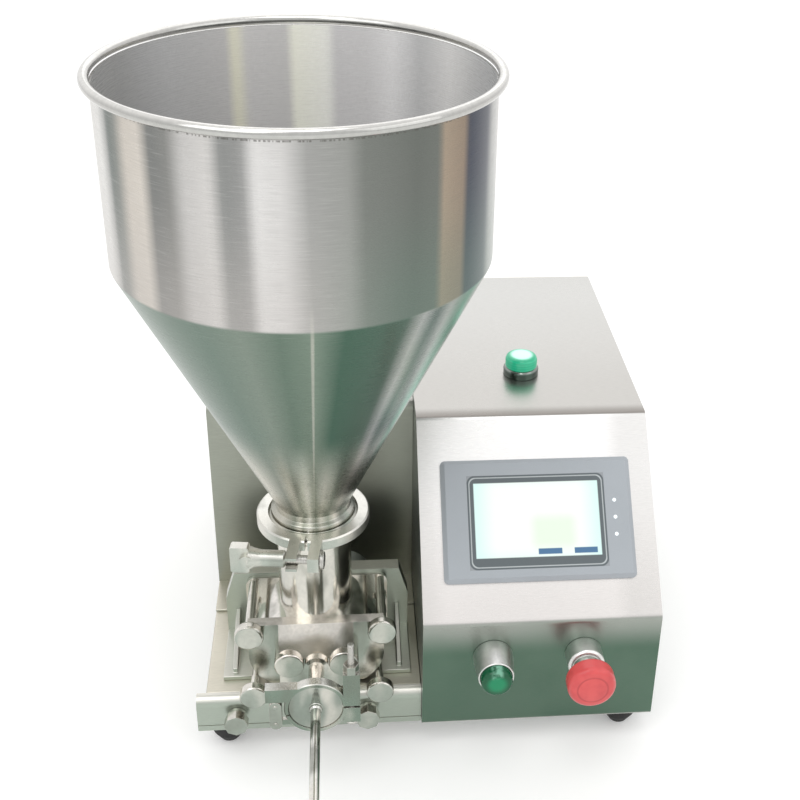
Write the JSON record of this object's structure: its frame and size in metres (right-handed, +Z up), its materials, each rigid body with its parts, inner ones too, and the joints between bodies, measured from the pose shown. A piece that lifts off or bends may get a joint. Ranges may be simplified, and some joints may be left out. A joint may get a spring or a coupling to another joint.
{
  "type": "donut filler machine",
  "caption": "Tabletop filler with a steel hopper clamped on a rotary lobe pump, a filling nozzle and a touch screen control cabinet.",
  "frame": {"origin": "on the floor, straight below the hopper's centre line", "axes": "+X to the right seen from the front, +Y to the back (the nozzle points along -Y), +Z up"},
  "size_m": [0.4336, 0.589, 0.582],
  "materials": {
    "polished_steel": "polished",
    "satin_steel": "satin",
    "cast_steel": "fine blasted",
    "chrome": "bright",
    "rotor_steel": "ground",
    "aluminium": "satin",
    "gear_steel": "oiled",
    "motor_black": "satin",
    "black_rubber": "matt",
    "white_seal": "matt",
    "grey_plastic": "fine textured",
    "black_plastic": "matt",
    "red_plastic": "gloss",
    "green_plastic": "gloss",
    "lamp_green": "frosted",
    "screen_glass": "gloss"
  },
  "bodies": {
    "machine": {"base_plate": "satin_steel", "base_tray": "satin_steel", "cabinet_back_panel": "satin_steel", "cabinet_shell": "satin_steel", "contact_blocks": "black_plastic", "cover_seal": "white_seal", "cover_studs": "polished_steel", "drive_electronics": "aluminium", "drive_motor": "motor_black", "estop_collar": "chrome", "feet": "black_rubber", "gear_case": "aluminium", "hmi_bezel": "grey_plastic", "hmi_leds": "lamp_green", "hmi_screen": "screen_glass", "hopper": "polished_steel", "hopper_clamp_bolt": "polished_steel", "hopper_clamp_half_left": "cast_steel", "hopper_clamp_half_right": "cast_steel", "hopper_gasket": "white_seal", "motor_housing": "satin_steel", "nozzle": "polished_steel", "outlet_clamp_bolt": "polished_steel", "outlet_clamp_link": "polished_steel", "outlet_clamp_lower": "cast_steel", "outlet_clamp_upper": "cast_steel", "outlet_gasket": "white_seal", "pilot_lamp_base": "chrome", "pilot_lamp_lens": "lamp_green", "power_inlet": "black_plastic", "pump_body": "polished_steel", "pump_cover": "polished_steel", "pump_frame": "satin_steel", "pump_stand": "satin_steel", "rear_deck": "satin_steel", "screws": "polished_steel", "shaft_bearings": "rotor_steel", "shaft_seals": "black_rubber", "start_button_collar": "chrome"},
    "drive_train": {"drive_rotor": "rotor_steel", "drive_rotor_nut": "polished_steel", "drive_shaft": "rotor_steel", "drive_timing_gear": "gear_steel", "shaft_coupling": "aluminium"},
    "driven_train": {"driven_rotor": "rotor_steel", "driven_rotor_nut": "polished_steel", "driven_shaft": "rotor_steel", "driven_timing_gear": "gear_steel"},
    "upper_knob_left": {"knob_upper_left": "polished_steel"},
    "upper_knob_right": {"knob_upper_right": "polished_steel"},
    "lower_knob_left": {"knob_lower_left": "polished_steel"},
    "lower_knob_right": {"knob_lower_right": "polished_steel"},
    "wing_nut": {"hopper_clamp_wing_nut": "cast_steel"},
    "outlet_nut": {"outlet_clamp_nut": "polished_steel"},
    "left_hand_screw": {"hand_screw_left": "polished_steel"},
    "right_hand_screw": {"hand_screw_right": "polished_steel"},
    "start_button": {"start_button_cap": "green_plastic"},
    "stop_plunger": {"estop_plunger": "chrome"},
    "stop_head": {"estop_head": "red_plastic"},
    "rocker": {"power_rocker": "black_plastic"}
  },
  "joints": [
    {"name": "drive_rotor_spin", "type": "hinge", "parent": "machine", "child": "drive_train", "pos_m": [-0.021, 0, 0.089], "axis": [0, -1, 0], "continuous": true},
    {"name": "driven_rotor_spin", "type": "hinge", "parent": "machine", "child": "driven_train", "pos_m": [0.021, 0, 0.089], "axis": [0, -1, 0], "continuous": true},
    {"name": "upper_left_knob_turn", "type": "hinge", "parent": "machine", "child": "upper_knob_left", "pos_m": [-0.0548, -0.041, 0.115], "axis": [0, -1, 0], "continuous": true},
    {"name": "upper_right_knob_turn", "type": "hinge", "parent": "machine", "child": "upper_knob_right", "pos_m": [0.0548, -0.041, 0.115], "axis": [0, -1, 0], "continuous": true},
    {"name": "lower_left_knob_turn", "type": "hinge", "parent": "machine", "child": "lower_knob_left", "pos_m": [-0.0525, -0.05, 0.0655], "axis": [0, -1, 0], "continuous": true},
    {"name": "lower_right_knob_turn", "type": "hinge", "parent": "machine", "child": "lower_knob_right", "pos_m": [0.0525, -0.05, 0.0655], "axis": [0, -1, 0], "continuous": true},
    {"name": "wing_nut_turn", "type": "hinge", "parent": "machine", "child": "wing_nut", "pos_m": [-0.00702, -0.0616, 0.207], "axis": [0.9936, -0.1132, 0], "continuous": true},
    {"name": "outlet_nut_turn", "type": "hinge", "parent": "machine", "child": "outlet_nut", "pos_m": [0.0286, -0.0965, 0.1225], "axis": [0, 0, 1], "continuous": true},
    {"name": "left_hand_screw_turn", "type": "hinge", "parent": "machine", "child": "left_hand_screw", "pos_m": [-0.068, -0.058, 0.039], "axis": [0, -1, 0], "continuous": true},
    {"name": "right_hand_screw_turn", "type": "hinge", "parent": "machine", "child": "right_hand_screw", "pos_m": [0.042, -0.058, 0.039], "axis": [0, -1, 0], "continuous": true},
    {"name": "start_button_press", "type": "slide", "parent": "machine", "child": "start_button", "axis": [0, 1, 0], "range_m": [0, 0.003], "stiffness_N_per_m": 800, "springref_m": -0.002},
    {"name": "stop_button_press", "type": "slide", "parent": "machine", "child": "stop_plunger", "axis": [0, 1, 0], "range_m": [0, 0.004], "stiffness_N_per_m": 1500, "springref_m": -0.002},
    {"name": "stop_button_twist", "type": "hinge", "parent": "stop_plunger", "child": "stop_head", "pos_m": [0.223, -0.09, 0.098], "axis": [0, -1, 0], "range_deg": [-45, 0], "stiffness_Nm_per_rad": 0.05, "springref_deg": 5.73},
    {"name": "power_rocker_tilt", "type": "hinge", "parent": "machine", "child": "rocker", "pos_m": [0.161, 0.351, 0.07], "axis": [1, 0, 0], "range_deg": [-16, 0]}
  ],
  "couplings": [
    {"joint": "driven_rotor_spin", "follows": "drive_rotor_spin", "ratio": -1}
  ]
}
